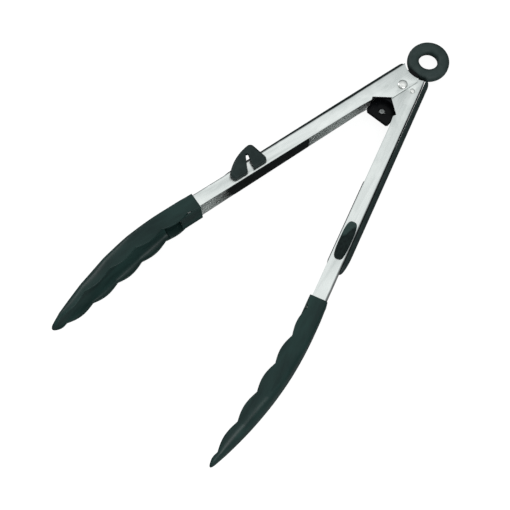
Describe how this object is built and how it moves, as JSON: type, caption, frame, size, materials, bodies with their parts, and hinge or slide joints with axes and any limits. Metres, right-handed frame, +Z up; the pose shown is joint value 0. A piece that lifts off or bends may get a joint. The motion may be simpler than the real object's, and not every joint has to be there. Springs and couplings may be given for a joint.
{
  "type": "spring loaded kitchen tongs",
  "caption": "Locking kitchen tongs: folded steel arms sprung open on a riveted pivot, scalloped nylon scoop heads, rubber grips and a pull ring lock.",
  "frame": {"origin": "middle of the bounding box, on the table that the tongs lie on", "axes": "+X towards the jaws, +Y towards the lower arm, +Z up from the table"},
  "size_m": [0.328, 0.146, 0.0354],
  "materials": {
    "brushed_steel": "brushed",
    "turned_steel": "polished",
    "spring_steel": "drawn wire",
    "nylon": "satin",
    "rubber": "matte"
  },
  "bodies": {
    "lower_arm": {"lower_arm_channel": "brushed_steel", "lower_head": "nylon", "lower_back_grip": "rubber", "lower_grip_core": "rubber", "lower_pad_near": "rubber", "lower_pad_far": "rubber", "spring_anchor": "turned_steel"},
    "upper_arm": {"upper_arm_channel": "brushed_steel", "upper_head": "nylon", "upper_back_grip": "rubber", "upper_grip_core": "rubber", "upper_pad_far": "rubber", "thumb_rest": "rubber"},
    "pivot_group": {"pivot_rivet": "turned_steel", "pivot_spacer": "turned_steel", "torsion_spring": "spring_steel"},
    "lock_group": {"lock_slider": "nylon", "lock_pin": "turned_steel", "pull_ring": "rubber"}
  },
  "joints": [
    {"name": "arm_hinge", "type": "hinge", "parent": "lower_arm", "child": "upper_arm", "pos_m": [-0.12004, 0, 0.00819], "axis": [-0.0415, 0, 0.9991], "range_deg": [0, 26.4], "stiffness_Nm_per_rad": 0.36, "springref_deg": -40.11},
    {"name": "pivot_follow", "type": "hinge", "parent": "lower_arm", "child": "pivot_group", "pos_m": [-0.12004, 0, 0.00819], "axis": [-0.0415, 0, 0.9991], "range_deg": [0, 13.2]},
    {"name": "lock_slide", "type": "slide", "parent": "pivot_group", "child": "lock_group", "axis": [-0.9991, 0, -0.0415], "range_m": [0, 0.008]}
  ],
  "couplings": [
    {"joint": "pivot_follow", "follows": "arm_hinge", "ratio": 0.5}
  ]
}
